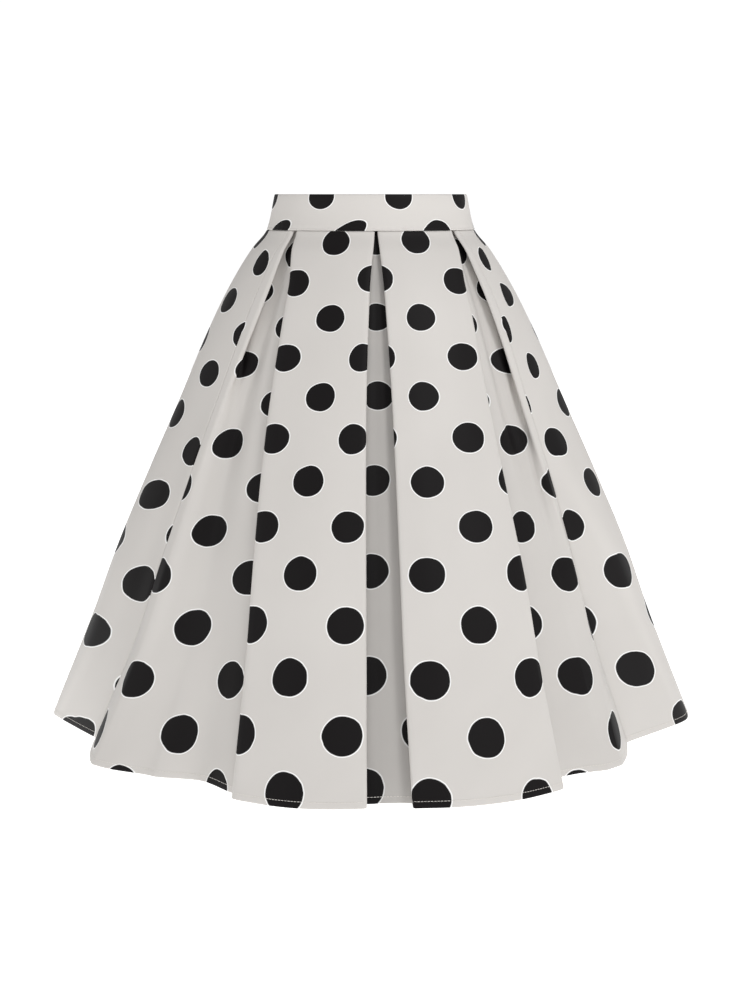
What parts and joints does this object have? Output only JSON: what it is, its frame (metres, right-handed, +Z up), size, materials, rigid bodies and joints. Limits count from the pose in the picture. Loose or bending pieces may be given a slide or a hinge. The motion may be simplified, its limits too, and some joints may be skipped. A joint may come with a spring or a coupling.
{
  "type": "pleated skirt",
  "caption": "Knee-length flared skirt with inverted pleats, a contoured waistband and a concealed centre-back zip, shaped as worn.",
  "frame": {"origin": "middle of the waist opening, level with the waistband's top edge", "axes": "+X across the skirt towards the right of a viewer who faces its front, +Y from front to back, +Z up out of the waist; the front faces -Y"},
  "size_m": [0.7916, 0.7233, 0.6385],
  "materials": {
    "printed_cloth": "ivory satin-faced cloth with a print of black dots",
    "zip_tape": "woven zip tape",
    "zip_coil": "moulded coil",
    "zip_metal": "ivory enamel"
  },
  "bodies": {
    "skirt": {"waistband_front": "printed_cloth", "waistband_back_left": "printed_cloth", "waistband_back_right": "printed_cloth", "front_panel": "printed_cloth", "back_left_panel": "printed_cloth", "back_right_panel": "printed_cloth", "zip_tape": "zip_tape", "zip_coil": "zip_coil", "zip_slider": "zip_metal"},
    "pull": {"zip_pull": "zip_metal"}
  },
  "joints": [
    {"name": "zip_pull_swing", "type": "hinge", "parent": "skirt", "child": "pull", "pos_m": [0, 0.09545, -0.00705], "axis": [1, 0, 0], "range_deg": [0, 150]}
  ]
}
